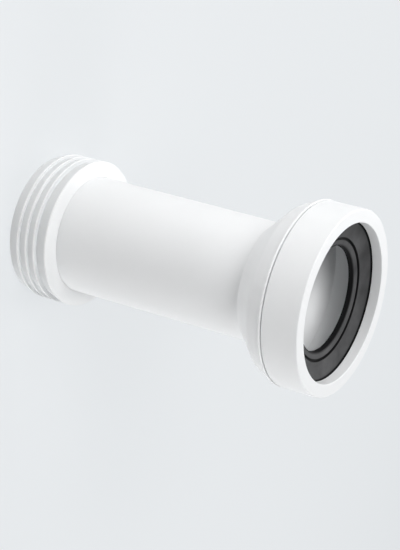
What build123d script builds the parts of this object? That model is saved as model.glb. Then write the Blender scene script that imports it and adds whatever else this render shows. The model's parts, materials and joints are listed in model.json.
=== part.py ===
from build123d import *
import os
from math import cos, radians, tan

# Straight toilet pan connector, in millimetres.
# It stands on its outlet end with the pan socket upwards, and the axis of the tube is Z.
# Every piece is turned from a half section of (radius, height) points.

# Overall length, from the outlet end to the flat rim of the ring
overall_height = 255.0

# Tube
bore_radius = 41.0
tube_wall = 3.0  # at the shoulder
tube_draft = 0.8  # how much thicker the wall has grown at the outlet end
tube_end_edge = 0.8
anchor_depth = 1.2  # rib round the tube that the cuff's collar is moulded over
anchor_length = 1.6

# Shoulder, which flares from the tube to the flange under the ring
shoulder_length = 32.3  # from the tube's corner up to the joint with the ring
flare_angle = 45.0  # from the axis
flare_wall = 3.2
crown_inset = 5.9  # how far inside the flange the flare turns upright
throat_fillet = 2.5
crown_fillet = 12.0
bore_fillet = 6.0

# Socket wall, which stands inside the ring, and the flange that the ring sits on
socket_radius = 61.2
socket_wall = 3.4
flange_proud = 0.45  # how far the flange stands out beyond the ring
flange_step = 0.7  # how far it stands out beyond the shoulder
flange_band = 1.7  # height of the flange's upright edge
flange_edge = 0.6
flange_foot_fillet = 0.3

# Retaining ring
ring_height = 28.7
ring_wall = 3.35
rim_width = 9.95
rim_thickness = 3.0
rim_edge = 0.8
mouth_wall = 3.0
mouth_edge = 0.5
recess_depth = 8.75  # from the rim down to the seal
ring_clearance = 0.2
ring_foot_edge = 0.3
joint_gap = 1.0  # open line round the joint, above the flange
joint_gap_depth = 1.9
seal_gap = 0.8  # from the end of the inner wall down to the seal

# Snap rib on the socket wall, and its groove in the ring
snap_rise = 9.0  # from the joint up to the rib's catch
snap_depth = 0.7
snap_length = 2.6
snap_clearance = 0.15

# Pan seal: a clamped rim, a dished web, a groove that it hinges on and an inner lip
seal_thickness = 3.0
seal_clearance = 0.2
web_drop = 2.9
step_depth = 0.5  # from the web down to the band inside the groove
hinge_width = 1.6
hinge_depth = 1.2  # below the band
band_width = 4.0  # from the groove in to the lip
band_drop = 1.3
lip_radius = 39.4
lip_wall = 2.5
lip_length = 4.25
lip_land = 1.8  # height of the sealing edge, below which the lip is undercut
lip_undercut = 0.9
seal_edge = 0.3  # on the edges that show

# Outlet cuff: a skirt that hangs from a collar on the tube and flexes inwards in the pipe
# Its barbs have one slope and are listed from the outlet end by their lengths
barb_radius = 56.5
barb_lengths = (10.2, 7.6, 7.3, 10.7)
barb_slope = 19.5  # from the axis
barb_land = 0.9  # width of each barb's cylindrical edge
barb_root_fillet = 0.4
skirt_wall = 2.2  # behind the deepest root
skirt_nose = 1.2
collar_thickness = 4.5  # at its edge
collar_dish = 1.6  # how far the collar's face rises from its edge to the tube
cuff_clearance = 0.1

# Radii that follow from these
tube_radius = bore_radius + tube_wall
outlet_radius = tube_radius + tube_draft
spigot_radius = socket_radius + socket_wall
skirt_radius = spigot_radius + ring_clearance
ring_radius = skirt_radius + ring_wall
flange_radius = ring_radius + flange_proud
crown_radius = flange_radius - crown_inset
mouth_radius = ring_radius - rim_width
channel_radius = mouth_radius + mouth_wall
hinge_radius = lip_radius + band_width
step_radius = hinge_radius + hinge_width
lip_back_radius = lip_radius + lip_wall
anchor_radius = outlet_radius + anchor_depth
cuff_bore_radius = outlet_radius + cuff_clearance
barb_depth = (max(barb_lengths) - barb_land) * tan(radians(barb_slope))
skirt_bore_radius = barb_radius - barb_depth - skirt_wall

# Heights that follow from these
joint_height = overall_height - ring_height
shoulder_height = joint_height - shoulder_length
flare_rise = 1 / tan(radians(flare_angle))
crown_height = shoulder_height + (crown_radius - tube_radius) * flare_rise
flare_offset = flare_wall / cos(radians(flare_angle))
bore_top = shoulder_height + (bore_radius + flare_offset - tube_radius) * flare_rise
socket_floor = shoulder_height + (socket_radius + flare_offset - tube_radius) * flare_rise
seal_top = overall_height - recess_depth
seat_height = seal_top - seal_thickness
channel_top = overall_height - rim_thickness
snap_height = joint_height + snap_rise
step_top = seal_top - web_drop
step_foot = step_top - step_depth
hinge_floor = step_foot - hinge_depth
lip_top = step_foot - band_drop
lip_end = lip_top - lip_length
wall_end = seal_top + seal_gap
gap_top = joint_height + joint_gap
flange_foot = joint_height - flange_band
cuff_length = sum(barb_lengths)
collar_height = cuff_length + collar_dish
collar_foot = cuff_length - collar_thickness
anchor_foot = collar_foot + (collar_thickness - anchor_length) / 2
anchor_top = anchor_foot + anchor_length

os.makedirs("parts", exist_ok=True)

# Connector body: tube, anchor rib, shoulder, flange and socket wall, moulded as one
with BuildPart() as connector_body:
    with BuildSketch(Plane.XZ):
        with BuildLine():
            outside = FilletPolyline(
                (bore_radius, 0),
                (outlet_radius, 0),
                (outlet_radius, anchor_foot),
                (anchor_radius, anchor_foot),
                (anchor_radius, anchor_top),
                (outlet_radius, anchor_top),
                (outlet_radius, collar_height),
                (tube_radius, shoulder_height),
                (crown_radius, crown_height),
                (flange_radius - flange_step, flange_foot),
                (flange_radius, flange_foot),
                (flange_radius, joint_height),
                (spigot_radius, joint_height),
                radius=(
                    tube_end_edge, 0, 0, 0, 0, 0, throat_fillet, crown_fillet,
                    flange_foot_fillet, flange_edge, flange_edge,
                ),
            )
            rib = Polyline(
                outside @ 1,
                (spigot_radius, snap_height),
                (spigot_radius + snap_depth, snap_height),
                (spigot_radius, snap_height + snap_length),
                (spigot_radius, seat_height),
                (socket_radius, seat_height),
            )
            FilletPolyline(
                rib @ 1,
                (socket_radius, socket_floor),
                (bore_radius, bore_top),
                outside @ 0,
                radius=(0, bore_fillet),
            )
        make_face()
    revolve(axis=Axis.Z)
connector_body.part.label = "connector_body"
export_step(connector_body.part, "parts/connector_body.step")

# Retaining ring: a skirt over the socket wall, a flat rim and an inner wall round the mouth
with BuildPart() as retaining_ring:
    with BuildSketch(Plane.XZ):
        with BuildLine():
            rim = FilletPolyline(
                (skirt_radius, joint_height),
                (ring_radius - joint_gap_depth, joint_height),
                (ring_radius - joint_gap_depth, gap_top),
                (ring_radius, gap_top),
                (ring_radius, overall_height),
                (mouth_radius, overall_height),
                (mouth_radius, wall_end),
                (channel_radius, wall_end),
                radius=(0, 0, ring_foot_edge, rim_edge, mouth_edge, mouth_edge),
            )
            Polyline(
                rim @ 1,
                (channel_radius, channel_top),
                (skirt_radius, channel_top),
                (skirt_radius, snap_height + snap_length + snap_clearance),
                (skirt_radius + snap_depth, snap_height - snap_clearance),
                (skirt_radius, snap_height - snap_clearance),
                rim @ 0,
            )
        make_face()
    revolve(axis=Axis.Z)
retaining_ring.part.label = "retaining_ring"
export_step(retaining_ring.part, "parts/retaining_ring.step")

# Pan seal: its rim fills the ring's channel and is clamped on the top of the socket wall
lip_back_height = lip_top + band_drop * lip_wall / band_width - (seal_thickness - step_depth)
with BuildPart() as pan_seal:
    with BuildSketch(Plane.XZ):
        with BuildLine():
            clamped_rim = Polyline(
                (mouth_radius, seat_height),
                (spigot_radius, seat_height),
                (spigot_radius, channel_top),
                (channel_radius + seal_clearance, channel_top),
                (channel_radius + seal_clearance, seal_top),
                (mouth_radius, seal_top),
            )
            FilletPolyline(
                clamped_rim @ 1,
                (step_radius, step_top),
                (step_radius, hinge_floor),
                (hinge_radius, hinge_floor),
                (hinge_radius, step_foot),
                (lip_radius, lip_top),
                (lip_radius, lip_top - lip_land),
                (lip_radius + lip_undercut, lip_end),
                (lip_back_radius, lip_end),
                (lip_back_radius, lip_back_height),
                (step_radius, step_top - seal_thickness),
                clamped_rim @ 0,
                radius=(seal_edge, 0, 0, seal_edge, seal_edge, 0, 0, 0, 0, 0),
            )
        make_face()
    revolve(axis=Axis.Z)
pan_seal.part.label = "pan_seal"
export_step(pan_seal.part, "parts/pan_seal.step")

# Outlet cuff: saw-tooth barbs up to a wide collar, which is grooved for the tube's anchor rib
barb_points = []
barb_foot = 0.0
for barb_length in barb_lengths:
    barb_root = barb_radius - (barb_length - barb_land) * tan(radians(barb_slope))
    barb_top = barb_foot + barb_length
    barb_points += [(barb_root, barb_foot), (barb_radius, barb_top - barb_land), (barb_radius, barb_top)]
    barb_foot = barb_top
barb_corners = [barb_root_fillet, 0, 0] * len(barb_lengths)
barb_corners[0] = skirt_nose

with BuildPart() as outlet_cuff:
    with BuildSketch(Plane.XZ):
        with BuildLine():
            barbs = FilletPolyline(
                (skirt_bore_radius, 0),
                *barb_points,
                (cuff_bore_radius, collar_height),
                radius=barb_corners,
            )
            Polyline(
                barbs @ 1,
                (cuff_bore_radius, anchor_top + cuff_clearance),
                (cuff_bore_radius + anchor_depth, anchor_top + cuff_clearance),
                (cuff_bore_radius + anchor_depth, anchor_foot - cuff_clearance),
                (cuff_bore_radius, anchor_foot - cuff_clearance),
                (cuff_bore_radius, collar_foot),
                (skirt_bore_radius, collar_foot),
                barbs @ 0,
            )
        make_face()
    revolve(axis=Axis.Z)
outlet_cuff.part.label = "outlet_cuff"
export_step(outlet_cuff.part, "parts/outlet_cuff.step")
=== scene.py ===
# %% [markdown]
# # A straight toilet pan connector
# This short white tube joins the back of a toilet to the soil pipe. One end is a socket with a black rubber
# seal that grips the toilet's outlet, and the other end has soft barbs that seal in the pipe.
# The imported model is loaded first, as a fixed frame in metres. Everything below is built around it, in place.

# %% Load the frame
import json
import math

import bmesh
import bpy
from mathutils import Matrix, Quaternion, Vector


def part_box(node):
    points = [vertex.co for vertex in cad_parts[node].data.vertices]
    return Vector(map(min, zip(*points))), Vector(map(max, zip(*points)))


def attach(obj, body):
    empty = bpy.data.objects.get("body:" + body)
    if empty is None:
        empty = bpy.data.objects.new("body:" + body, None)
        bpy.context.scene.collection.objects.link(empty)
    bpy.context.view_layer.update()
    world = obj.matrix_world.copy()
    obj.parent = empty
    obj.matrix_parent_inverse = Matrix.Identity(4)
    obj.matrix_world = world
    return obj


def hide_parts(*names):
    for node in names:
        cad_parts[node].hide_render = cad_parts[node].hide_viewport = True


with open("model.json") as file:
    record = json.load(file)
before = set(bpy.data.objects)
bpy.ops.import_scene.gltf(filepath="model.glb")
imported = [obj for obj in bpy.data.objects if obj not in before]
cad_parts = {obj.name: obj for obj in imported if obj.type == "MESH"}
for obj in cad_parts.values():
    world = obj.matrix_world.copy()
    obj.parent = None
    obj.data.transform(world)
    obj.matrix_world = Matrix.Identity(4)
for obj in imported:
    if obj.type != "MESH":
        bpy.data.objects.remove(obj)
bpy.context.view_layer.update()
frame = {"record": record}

# %% [markdown]
# ## A lathe for the pieces
# Every piece is round about one axis. It could be made from primitive cylinders and booleans, but the joins
# between them would shade badly. A turner's way is better: draw half of the piece's section, round the
# corners that the mould rounds, and spin it once about Z. A corner is (radius, height, rounding) in
# millimetres.

# %% Spin a half section
MM = 0.001
SHARP = 0
ARC_STEP = math.radians(9)
FEWEST_ARC_STEPS = 2
TURN_STEPS = 288
CREASE_ANGLE = math.radians(30)


def round_corner(drawing, corner, radius):
    """Puts an arc of that radius on one corner of a drawn section."""
    legs = [edge.other_vert(corner).co - corner.co for edge in corner.link_edges]
    turn = math.pi - legs[0].angle(legs[1])
    bmesh.ops.bevel(
        drawing, geom=[corner], offset=radius * math.tan(turn / 2), offset_type="OFFSET",
        segments=max(FEWEST_ARC_STEPS, round(turn / ARC_STEP)), profile=0.5, affect="VERTICES", material=-1,
    )


def turned(name, corners):
    """A closed piece of that half section, smooth but for its sharp corners."""
    drawing = bmesh.new()
    points = [drawing.verts.new((radius * MM, 0, height * MM)) for radius, height, _ in corners]
    for start, end in zip(points, points[1:] + points[:1]):
        drawing.edges.new((start, end))
    for point, (_, _, rounding) in zip(points, corners):
        if rounding != SHARP:
            round_corner(drawing, point, rounding * MM)
    bmesh.ops.spin(
        drawing, geom=drawing.verts[:] + drawing.edges[:], cent=(0, 0, 0), axis=(0, 0, 1),
        angle=math.tau, steps=TURN_STEPS, use_merge=True,
    )
    bmesh.ops.recalc_face_normals(drawing, faces=drawing.faces[:])
    mesh = bpy.data.meshes.new(name)
    drawing.to_mesh(mesh)
    drawing.free()
    mesh.shade_smooth()
    mesh.set_sharp_from_angle(angle=CREASE_ANGLE)
    piece = bpy.data.objects.new(name, mesh)
    bpy.context.scene.collection.objects.link(piece)
    weighted = piece.modifiers.new("even_shading", "WEIGHTED_NORMAL")
    weighted.keep_sharp = True
    print(name, len(mesh.polygons), "faces, height", round(piece.dimensions.z / MM, 2), "mm")
    return piece


print("one turn takes", TURN_STEPS, "steps of", 360 / TURN_STEPS, "degrees")

# %% [markdown]
# ## Sizes from the frame
# Heights and outer radii are read from the CAD boxes, so the pieces below can't drift from the model.
# Only what a box can't tell, such as a wall or a fillet, is written as a size of its own, in millimetres.

# %% Read the boxes
def reach(node):
    """Outer radius, lowest and highest height of a CAD node in millimetres."""
    low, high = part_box(node)
    return tuple(round(value / MM, 2) for value in (high.x, low.z, high.z))


flange_radius, outlet_end, seat_height = reach("connector_body")
ring_radius, joint_height, rim_height = reach("retaining_ring")
spigot_radius, lip_end, channel_top = reach("pan_seal")
barb_radius, skirt_end, collar_height = reach("outlet_cuff")
print("radii: flange", flange_radius, "ring", ring_radius, "spigot", spigot_radius, "barbs", barb_radius)
print("heights: collar", collar_height, "joint", joint_height, "lip end", lip_end, "seat", seat_height)

# %% [markdown]
# ## The moulded body
# Tube, flared shoulder and socket wall are one moulding. The tube has a slight draft, so that it leaves the
# mould. The shoulder turns twice: a 45 degree flare, then a steeper crown up to the thin flange that the ring
# sits on. The flange stands a little proud, so it draws one bright line round the shoulder.
# Two ribs are hidden: the cuff is moulded over the anchor rib, and the ring snaps over the other.

# %% Measure the body
bore_radius = 41.0
tube_radius = 44.0
outlet_radius = 44.8
socket_radius = 61.2
crown_radius = 62.7

shoulder_length = 32.3
flange_band = 1.7
flange_step = 0.7
shoulder_height = joint_height - shoulder_length
crown_height = shoulder_height + crown_radius - tube_radius
flange_foot = joint_height - flange_band

flare_wall = 3.2
flare_offset = flare_wall * math.sqrt(2)
bore_top = shoulder_height + bore_radius + flare_offset - tube_radius
socket_floor = shoulder_height + socket_radius + flare_offset - tube_radius

anchor_depth = 1.2
anchor_length = 1.6
anchor_radius = outlet_radius + anchor_depth
anchor_foot = 32.75
anchor_top = anchor_foot + anchor_length

snap_rise = 9.0
snap_length = 2.6
snap_depth = 0.7
snap_height = joint_height + snap_rise
snap_top = snap_height + snap_length
print("heights: shoulder", round(shoulder_height, 2), "crown", round(crown_height, 2), "flange", flange_foot)

# %% Turn the body
bore_edge = 0.5
tube_end_edge = 0.8
throat_fillet = 2.5
crown_fillet = 12.0
flange_foot_fillet = 0.3
flange_edge = 0.6
bore_fillet = 6.0


def stands_for(piece, node):
    """The piece takes the place of a CAD node, which is hidden."""
    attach(piece, "root")
    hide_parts(node)


body = turned("moulded_body", [
    (bore_radius, outlet_end, bore_edge),
    (outlet_radius, outlet_end, tube_end_edge),
    (outlet_radius, anchor_foot, SHARP),
    (anchor_radius, anchor_foot, SHARP),
    (anchor_radius, anchor_top, SHARP),
    (outlet_radius, anchor_top, SHARP),
    (outlet_radius, collar_height, SHARP),
    (tube_radius, shoulder_height, throat_fillet),
    (crown_radius, crown_height, crown_fillet),
    (flange_radius - flange_step, flange_foot, flange_foot_fillet),
    (flange_radius, flange_foot, flange_edge),
    (flange_radius, joint_height, flange_edge),
    (spigot_radius, joint_height, SHARP),
    (spigot_radius, snap_height, SHARP),
    (spigot_radius + snap_depth, snap_height, SHARP),
    (spigot_radius, snap_top, SHARP),
    (spigot_radius, seat_height, SHARP),
    (socket_radius, seat_height, SHARP),
    (socket_radius, socket_floor, SHARP),
    (bore_radius, bore_top, bore_fillet),
])
stands_for(body, "connector_body")

# %% [markdown]
# ## The retaining ring
# A separate ring snaps over the socket wall and holds the seal down. From outside it is a plain band with a
# wide flat rim. Inside, a second wall goes down towards the seal and leaves a channel for the seal's bead.
# The band stops short of the flange: that open line takes up small errors, and reads as a dark thread.

# %% Measure the ring
ring_clearance = 0.2
rim_width = 9.95
mouth_wall = 3.0
skirt_radius = spigot_radius + ring_clearance
mouth_radius = ring_radius - rim_width
channel_radius = mouth_radius + mouth_wall

recess_depth = 8.75
seal_gap = 0.8
seal_top = rim_height - recess_depth
wall_end = seal_top + seal_gap

joint_gap = 1.0
joint_gap_depth = 1.9
gap_top = joint_height + joint_gap
gap_radius = ring_radius - joint_gap_depth

snap_clearance = 0.15
groove_top = snap_top + snap_clearance
groove_foot = snap_height - snap_clearance
print("mouth radius", round(mouth_radius, 2), "seal", seal_top, "end of the inner wall", round(wall_end, 2))

# %% Turn the ring
ring_foot_edge = 0.3
rim_edge = 0.8
mouth_edge = 0.5

ring = turned("retaining_ring_band", [
    (skirt_radius, joint_height, SHARP),
    (gap_radius, joint_height, SHARP),
    (gap_radius, gap_top, SHARP),
    (ring_radius, gap_top, ring_foot_edge),
    (ring_radius, rim_height, rim_edge),
    (mouth_radius, rim_height, mouth_edge),
    (mouth_radius, wall_end, mouth_edge),
    (channel_radius, wall_end, SHARP),
    (channel_radius, channel_top, SHARP),
    (skirt_radius, channel_top, SHARP),
    (skirt_radius, groove_top, SHARP),
    (skirt_radius + snap_depth, groove_foot, SHARP),
    (skirt_radius, groove_foot, SHARP),
])
stands_for(ring, "retaining_ring")

# %% [markdown]
# ## The pan seal
# The black ring is moulded rubber. Its bead is trapped in the ring's channel, and from there a web dishes
# down to a groove. The lip inside the groove hinges on it as the toilet's outlet pushes through and stretches
# it. Here nothing stretches the lip yet, so its free edge leans in by about a millimetre past the bore that
# it seals on. That bore's radius is read from the record, where it is the pan's mount.

# %% Measure the seal
lip_radius = next(m["dims"]["r_mm"] for m in frame["record"]["mounts"] if m["name"] == "pan_inlet")
band_width = 4.0
hinge_width = 1.6
hinge_radius = lip_radius + band_width
step_radius = hinge_radius + hinge_width
bead_clearance = 0.2
bead_radius = channel_radius + bead_clearance

seal_thickness = seal_top - seat_height
web_drop = 2.9
step_depth = 0.5
hinge_depth = 1.2
step_top = seal_top - web_drop
step_foot = step_top - step_depth
hinge_floor = step_foot - hinge_depth

lip_length = 4.25
lip_trim = 0.7
lip_wall = 2.5
edge_lean = 0.6
foot_lean = 1.2
lip_top = lip_end + lip_length
lip_foot = lip_end + lip_trim
lip_edge = lip_radius - edge_lean
free_edge = lip_radius - foot_lean
lip_back = lip_radius + lip_wall

band_thickness = 2.5
band_drop = (step_foot - lip_top) * (lip_back - lip_radius) / (hinge_radius - lip_radius)
lip_back_height = lip_top + band_drop - band_thickness
print("lip radius", lip_radius, "leaning in to", round(free_edge, 2), "groove radius", round(hinge_radius, 2))

# %% Turn the seal
soft_edge = 0.3

seal = turned("rubber_seal", [
    (mouth_radius, seat_height, soft_edge),
    (spigot_radius, seat_height, SHARP),
    (spigot_radius, channel_top, SHARP),
    (bead_radius, channel_top, SHARP),
    (bead_radius, seal_top, SHARP),
    (mouth_radius, seal_top, soft_edge),
    (step_radius, step_top, soft_edge),
    (step_radius, hinge_floor, soft_edge),
    (hinge_radius, hinge_floor, soft_edge),
    (hinge_radius, step_foot, soft_edge),
    (lip_edge, lip_top, soft_edge),
    (free_edge, lip_foot, soft_edge),
    (lip_back, lip_foot, soft_edge),
    (lip_back, lip_back_height, soft_edge),
    (step_radius, step_top - seal_thickness, soft_edge),
])
stands_for(seal, "pan_seal")

# %% [markdown]
# ## The barbed cuff
# The outlet end wears a cuff of softer plastic: a collar moulded round the tube, with a skirt hanging from
# it. Four saw-tooth barbs ring the skirt. A loop draws them from their lengths, as all four share one slope.

# %% Measure the cuff
barb_lengths = (10.2, 7.6, 7.3, 10.7)
barb_slope = math.radians(19.5)
barb_land = 0.9
cuff_length = sum(barb_lengths)
deepest_root = (max(barb_lengths) - barb_land) * math.tan(barb_slope)

cuff_clearance = 0.1
skirt_wall = 2.2
collar_thickness = 4.5
cuff_bore = outlet_radius + cuff_clearance
skirt_bore = barb_radius - deepest_root - skirt_wall
collar_foot = cuff_length - collar_thickness

anchor_groove = anchor_radius + cuff_clearance
anchor_groove_foot = anchor_foot - cuff_clearance
anchor_groove_top = anchor_top + cuff_clearance
print("barbs reach", round(cuff_length, 2), "up, and stand", round(deepest_root, 2), "out at most")

# %% Turn the cuff
nose_fillet = 1.2
root_fillet = 0.4
land_foot_edge = 0.25
land_top_edge = 0.2
skirt_edge = 0.5
collar_edge = 0.3
skirt_fillet = 1.5

barbs = []
foot = skirt_end
for length in barb_lengths:
    root = barb_radius - (length - barb_land) * math.tan(barb_slope)
    barbs += [(root, foot, root_fillet if barbs else nose_fillet)]
    foot += length
    barbs += [(barb_radius, foot - barb_land, land_foot_edge), (barb_radius, foot, land_top_edge)]

cuff = turned("barbed_cuff", [
    (skirt_bore, skirt_end, skirt_edge),
    *barbs,
    (cuff_bore, collar_height, collar_edge),
    (cuff_bore, anchor_groove_top, SHARP),
    (anchor_groove, anchor_groove_top, SHARP),
    (anchor_groove, anchor_groove_foot, SHARP),
    (cuff_bore, anchor_groove_foot, SHARP),
    (cuff_bore, collar_foot, SHARP),
    (skirt_bore, collar_foot, skirt_fillet),
])
stands_for(cuff, "outlet_cuff")

# %% [markdown]
# ## Writing shaders as sums
# A finish is a small tree of nodes. Linking them by hand hides the sum that they work out, so a wire, which
# is one output socket, can be added and multiplied in Python, and each sum adds its own Math node to the
# tree. Every other node comes from one method, which takes its settings, then its sockets' values or wires.

# %% A wire
class Wire:
    """One output socket of a finish, which can be used in a sum."""

    def __init__(self, finish, socket):
        self.finish = finish
        self.socket = socket

    def math(self, operation, first, second):
        """A wire with the result of one Math node."""
        return self.finish.node("ShaderNodeMath", {"operation": operation}, {0: first, 1: second})

    def __add__(self, other):
        return self.math("ADD", self, other)

    def __sub__(self, other):
        return self.math("SUBTRACT", self, other)

    def __rsub__(self, other):
        return self.math("SUBTRACT", other, self)

    def __mul__(self, other):
        return self.math("MULTIPLY", self, other)

    __radd__ = __add__
    __rmul__ = __mul__


print("a wire can be added, subtracted and multiplied")

# %% A finish
class Finish:
    """The node tree of a material or of the world."""

    def __init__(self, owner):
        owner.use_nodes = True
        self.owner = owner
        self.tree = owner.node_tree
        self.tree.nodes.clear()

    def node(self, kind, settings=None, sockets=None, out=0):
        """Adds a node: its settings first, then the value or the wire of each socket."""
        made = self.tree.nodes.new(kind)
        for setting, value in (settings or {}).items():
            if setting == "stops":
                stops = made.color_ramp.elements
                while len(stops) < len(value):
                    stops.new(1.0)
                for stop, (place, level) in zip(stops, value):
                    stop.position = place
                    stop.color = (level, level, level, 1)
            else:
                setattr(made, setting, value)
        for socket, value in (sockets or {}).items():
            if isinstance(value, Wire):
                self.tree.links.new(value.socket, made.inputs[socket])
            else:
                made.inputs[socket].default_value = value
        return Wire(self, made.outputs[out]) if made.outputs else made


def paint(piece, finish):
    """Gives the piece that finish."""
    piece.data.materials.clear()
    piece.data.materials.append(finish.owner)
    print(piece.name, "is painted with", finish.owner.name)


print("a finish takes nodes by their kind, settings and sockets")

# %% [markdown]
# ## Satin white plastic
# The body and the ring are moulded in white polypropylene. It is never perfectly even: the melt leaves faint
# clouds of tone, the polished mould leaves a slight orange peel, and the gloss changes a little with both.
# Some light also goes into the plastic and scatters below its skin, which softens every edge of shade.
# The cuff is a softer plastic. Its greyer tone paints shade on the barbs, its thick collar is painted paler
# as light, and the thin edges of its barbs are painted pale lines as highlights. Both are found by radius
# and height, with no map.

# %% Choose the tones
def paled(tone, gap):
    """The tone, with only that share of its gap to white left."""
    return tuple(1 - gap * (1 - channel) for channel in tone)


white_tone = (0.871, 0.88, 0.887)
# The cuff's greyer tone is painted shade on its barbs, and the collar's paler tone is painted light.
cuff_painted_shade_tone = (0.788, 0.801, 0.808)
collar_painted_light_tone = paled(cuff_painted_shade_tone, gap=0.7)
# The barb edges' pale tone is a painted highlight.
barb_edge_painted_highlight = paled(cuff_painted_shade_tone, gap=0.3)
print("white", white_tone, "soft", cuff_painted_shade_tone)
print("collar", [round(c, 3) for c in collar_painted_light_tone], "barb edges", [round(c, 3) for c in barb_edge_painted_highlight])

# %% Mix the white plastics
NOISE_MIDDLE = 0.5
CLOUD_SHADE = 0.965
CLOUD_RELIEF = 0.4
CLOUD_GLOSS = 0.10
PEEL_GLOSS = 0.06
COLLAR_LIGHT_FADE = (-0.1, 0.1)
EDGE_HIGHLIGHT_FADE = (-0.25, -0.05)


def distance_from_axis(finish, place):
    """A wire with each point's distance from the Z axis, in metres."""
    flat = finish.node("ShaderNodeVectorMath", {"operation": "MULTIPLY"}, {0: place, 1: (1, 1, 0)})
    return finish.node("ShaderNodeVectorMath", {"operation": "LENGTH"}, {0: flat}, out="Value")


def rising(finish, value, mark, fade):
    """A wire that goes from 0 to 1 about a mark, between the two ends of the fade, in millimetres from it."""
    start, end = ((mark + offset) * MM for offset in fade)
    return finish.node("ShaderNodeMapRange", {}, {"Value": value, "From Min": start, "From Max": end})


def mixed(finish, share, first, second):
    """A wire with the first colour where the share is 0, and the second where it is 1."""
    return finish.node("ShaderNodeMix", {"data_type": "RGBA"}, {0: share, 6: first, 7: second}, out=2)


def moulded_plastic(name, tone, gloss_loss, peel, collar_light_at=None, edge_highlight_at=None):
    """White plastic of two close tones, with a peel of that depth in millimetres.

    It takes the collar's painted light above one height, and the barb edges' painted highlight outside one
    radius, in millimetres.
    """
    finish = Finish(bpy.data.materials.new(name))
    place = finish.node("ShaderNodeTexCoord", out="Object")
    clouds = finish.node("ShaderNodeTexNoise", {}, {"Vector": place, "Scale": 18.0, "Detail": 3.0})
    grain = finish.node("ShaderNodeTexNoise", {}, {"Vector": place, "Scale": 620.0, "Detail": 2.0})
    shaded = tuple(CLOUD_SHADE * channel for channel in tone)
    colour = mixed(finish, clouds, (*shaded, 1), (*tone, 1))
    if collar_light_at:
        height = finish.node("ShaderNodeSeparateXYZ", {}, {"Vector": place}, out="Z")
        # painted light: the collar is paler above its height
        colour = mixed(finish, rising(finish, height, collar_light_at, COLLAR_LIGHT_FADE), colour, (*collar_painted_light_tone, 1))
    if edge_highlight_at:
        radius = distance_from_axis(finish, place)
        # painted highlight: the barb edges are paler outside their radius
        colour = mixed(finish, rising(finish, radius, edge_highlight_at, EDGE_HIGHLIGHT_FADE), colour, (*barb_edge_painted_highlight, 1))
    relief = grain + CLOUD_RELIEF * clouds
    skin = finish.node("ShaderNodeBump", {}, {"Height": relief, "Distance": peel * MM, "Strength": 1.0})
    dullness = gloss_loss + CLOUD_GLOSS * (clouds - NOISE_MIDDLE) + PEEL_GLOSS * (grain - NOISE_MIDDLE)
    plastic = finish.node("ShaderNodeBsdfPrincipled", {}, {
        "Base Color": colour,
        "Roughness": dullness,
        "Normal": skin,
        "IOR": 1.49,
        "Subsurface Weight": 0.12,
        "Subsurface Radius": (1.0, 1.0, 1.0),
        "Subsurface Scale": 0.002,
    })
    finish.node("ShaderNodeOutputMaterial", {}, {"Surface": plastic})
    return finish


paint(body, moulded_plastic("white_polypropylene", white_tone, gloss_loss=0.38, peel=0.006))
paint(ring, moulded_plastic("ring_polypropylene", white_tone, gloss_loss=0.36, peel=0.006))
# The cuff's tone paints shade on its barbs, with painted light on the collar and painted highlights on the barb
# edges.
paint(cuff, moulded_plastic(
    "soft_polyethylene", cuff_painted_shade_tone, gloss_loss=0.46, peel=0.012, collar_light_at=cuff_length, edge_highlight_at=barb_radius,
))

# %% [markdown]
# ## Black rubber
# Moulded rubber is dull and very dark. A fine bloom of wax and talc greys its faces in patches. The recesses
# are painted black as shade: the lip's inner side, the hinge groove and the edge under the ring. All of
# these are circles, so one ramp along the radius tells the open faces from the painted shade.

# %% Find the open faces
def unshaded_face(inner, inner_fade, outer, outer_fade):
    """The radii at which a face's grey starts, is full, is full no more and ends; outside it is painted shade.

    Each fade says how far inside the face the grey starts, and how far inside it is full.
    """
    return inner + inner_fade[0], inner + inner_fade[1], outer - outer_fade[1], outer - outer_fade[0]


# How far in from each recess the painted black shade fades out onto a face.
lip_roll = (0.1, 1.6)
hinge_shade = (0.1, 0.35)
step_shade = (0.2, 0.45)
rim_shade = (0.75, 1.0)
lip_face = unshaded_face(lip_edge, lip_roll, hinge_radius, hinge_shade)
web_face = unshaded_face(step_radius, step_shade, mouth_radius, rim_shade)
print("lip's face", [round(r, 2) for r in lip_face], "web's face", [round(r, 2) for r in web_face])

# %% Mix the rubber
FACE_LEVELS = (0.0, 1.0, 1.0, 0.0)
BLOOM_SHARE = 0.55
BLOOM_PATCHES = 0.9
GRAIN_DEPTH = 0.02
RUBBER_DULLNESS = 0.60
BLOOM_DULLNESS = 0.12
# The black is painted shade in the recesses, and the grey is the bloom.
painted_recess_shade = (0.003, 0.003, 0.0033, 1)
bloom_grey = (0.124, 0.124, 0.127, 1)


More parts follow.
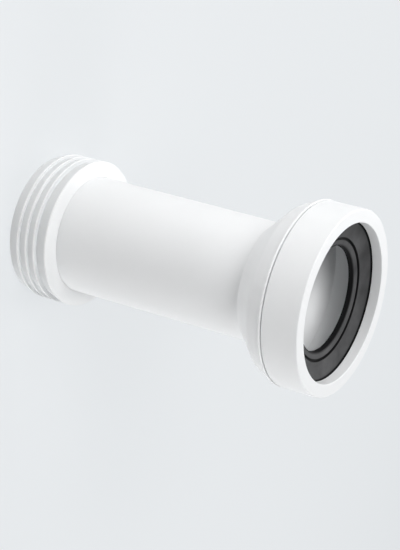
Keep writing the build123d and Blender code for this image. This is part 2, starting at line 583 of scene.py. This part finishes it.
def moulded_rubber(name, faces, outer_radius):
    """Dull black grainy rubber, with grey bloom on those faces and painted shade off them, out to that radius.
    """
    finish = Finish(bpy.data.materials.new(name))
    place = finish.node("ShaderNodeTexCoord", out="Object")
    along = distance_from_axis(finish, place) * (1 / (outer_radius * MM))
    stops = []
    for face in faces:
        stops += [(radius / outer_radius, level) for radius, level in zip(face, FACE_LEVELS)]
    # painted shade: black in the recesses, found by radius
    outside_painted_shade = finish.node("ShaderNodeValToRGB", {"stops": stops}, {0: along})
    bloom = finish.node("ShaderNodeTexNoise", {}, {"Vector": place, "Scale": 60.0, "Detail": 4.0})
    grain = finish.node("ShaderNodeTexNoise", {}, {"Vector": place, "Scale": 1400.0, "Detail": 2.0})
    bloom_outside_painted_shade = outside_painted_shade * (BLOOM_SHARE + BLOOM_PATCHES * (bloom - NOISE_MIDDLE))
    skin = finish.node("ShaderNodeBump", {}, {"Height": grain, "Distance": GRAIN_DEPTH * MM, "Strength": 1.0})
    rubber = finish.node("ShaderNodeBsdfPrincipled", {}, {
        "Base Color": mixed(finish, bloom_outside_painted_shade, painted_recess_shade, bloom_grey),
        "Roughness": RUBBER_DULLNESS + BLOOM_DULLNESS * bloom,
        "Normal": skin,
        "IOR": 1.52,
        "Specular IOR Level": 0.12,
    })
    finish.node("ShaderNodeOutputMaterial", {}, {"Surface": rubber})
    return finish


paint(seal, moulded_rubber("charcoal_rubber", (lip_face, web_face), outer_radius=spigot_radius))

# %% [markdown]
# ## The camera
# The picture looks down on the connector from its side and is turned, so that the tube lies across the frame
# with its socket to the right. Turning the camera about its own line of sight does that, and the part stands.

# %% Place the camera
camera_place = Vector((0, -1.008287, 0.693462))
camera_target = Vector((0.007585, 0, 0.137916))
camera_roll = math.radians(105.5995)
lens_mm = 102.625
sensor_mm = 36

camera = bpy.data.objects.new("camera", bpy.data.cameras.new("camera"))
camera.data.sensor_fit = "VERTICAL"
camera.data.sensor_height = sensor_mm
camera.data.sensor_width = sensor_mm
camera.data.lens = lens_mm
sight = camera_target - camera_place
camera.location = camera_place
camera.rotation_mode = "QUATERNION"
camera.rotation_quaternion = sight.to_track_quat("-Z", "Y") @ Quaternion((0, 0, 1), camera_roll)
bpy.context.scene.collection.objects.link(camera)
bpy.context.scene.camera = camera
bpy.context.view_layer.update()
to_right, to_top, to_viewer = (camera.matrix_world.to_3x3().col[axis] for axis in range(3))
print("picture's right", [round(c, 3) for c in to_right], "top", [round(c, 3) for c in to_top])

# %% [markdown]
# ## The floor
# The floor is a sheet of white paper. Most of what the camera sees of it glows at the wanted pale tone, and
# the rest is lit as any paper is, so the connector still leaves a soft shadow. The light that bounces off the
# paper is real, and it fills the under side of the shoulder and of the barbs.

# %% Lay the floor
floor_radius = 8.0
floor_sides = 96

disc = bmesh.new()
bmesh.ops.create_circle(disc, cap_ends=True, segments=floor_sides, radius=floor_radius)
floor_mesh = bpy.data.meshes.new("floor")
disc.to_mesh(floor_mesh)
disc.free()
floor = bpy.data.objects.new("floor", floor_mesh)
bpy.context.scene.collection.objects.link(floor)
print("floor", 2 * floor_radius, "m across")

# %% Whiten the floor
backdrop = (0.791, 0.823, 0.847, 1)
paper_white = (0.865, 0.865, 0.865, 1)
glow_share = 0.8


def seen_directly(finish):
    """A wire that is 1 for rays from the camera, mirrors and glass, and 0 for light that bounces about."""
    kinds = ("Is Camera Ray", "Is Glossy Ray", "Is Transmission Ray")
    camera_ray, glossy_ray, glass_ray = (finish.node("ShaderNodeLightPath", out=kind) for kind in kinds)
    rays = camera_ray + glossy_ray + glass_ray
    return finish.node("ShaderNodeMath", {"operation": "MINIMUM"}, {0: rays, 1: 1.0})


paper = Finish(bpy.data.materials.new("pale_paper"))
lit = paper.node("ShaderNodeBsdfDiffuse", {}, {"Color": paper_white})
glow = paper.node("ShaderNodeEmission", {}, {"Color": backdrop, "Strength": 1.0})
shown = paper.node("ShaderNodeMixShader", {}, {0: glow_share * seen_directly(paper), 1: lit, 2: glow})
paper.node("ShaderNodeOutputMaterial", {}, {"Surface": shown})
paint(floor, paper)

# %% [markdown]
# ## The world
# The world stands for the room. To the camera, and in reflections, it is as pale as the floor. As a light it
# is almost off, because light that comes evenly from all sides would wash out the soft shading that shows how
# round the tube is.

# %% Light the world
room_light = 0.02

world = bpy.data.worlds.new("studio")
bpy.context.scene.world = world
sky = Finish(world)
room = sky.node("ShaderNodeBackground", {}, {"Color": (1, 1, 1, 1), "Strength": room_light})
wall = sky.node("ShaderNodeBackground", {}, {"Color": backdrop, "Strength": 1.0})
seen = sky.node("ShaderNodeMixShader", {}, {0: seen_directly(sky), 1: room, 2: wall})
sky.node("ShaderNodeOutputWorld", {}, {"Surface": seen})
print("light of the room", room_light)

# %% [markdown]
# ## Lamps
# White plastic needs broad light: small lamps would leave hard spots. The lamps are large squares, all as far
# from the connector, and named for where they stand in the picture. The four near the camera are smaller, and
# reach past the rim into the mouth. The light from above and below is broad and stands a little behind, so
# that it rims the tube and leaves its middle in half shade. The watts stop where the top of the tube would
# clip to plain white.

# %% Hang the lamps
lamp_distance = 1.5


def softbox(name, right, top, viewer, size, watts):
    """A square lamp that faces the connector from that side of the picture."""
    lamp = bpy.data.lights.new(name, "AREA")
    lamp.size = size
    lamp.energy = watts
    holder = bpy.data.objects.new(name, lamp)
    outward = (right * to_right + top * to_top + viewer * to_viewer).normalized()
    holder.location = camera_target + lamp_distance * outward
    holder.rotation_mode = "QUATERNION"
    holder.rotation_quaternion = (-outward).to_track_quat("-Z", "Y")
    bpy.context.scene.collection.objects.link(holder)
    print(name, "at", [round(c, 2) for c in holder.location], watts, "W")


softbox("key", right=0.46, top=-0.04, viewer=0.87, size=0.5, watts=6.4)
softbox("high_key", right=0.5, top=0.4, viewer=0.77, size=0.5, watts=5.8)
softbox("over_camera", right=0.3, top=0.35, viewer=0.9, size=0.5, watts=2.7)
softbox("at_camera", right=0.1, top=0.1, viewer=1.2, size=0.5, watts=1.0)
softbox("overhead", right=0.5, top=1.0, viewer=0.1, size=0.9, watts=3.6)
softbox("over_socket", right=0.9, top=0.8, viewer=0.2, size=1.0, watts=5.7)
softbox("beside_socket", right=1.2, top=0.1, viewer=-0.3, size=0.8, watts=7.4)
softbox("below", right=0.1, top=-1.2, viewer=0.1, size=1.0, watts=4.0)
softbox("below_behind", right=0.1, top=-1.2, viewer=-0.25, size=0.8, watts=11.4)

# %% [markdown]
# ## Finish
# The view transform is Standard, so that a colour comes out as it is written.

# %% Set the view transform
bpy.context.scene.view_settings.view_transform = "Standard"
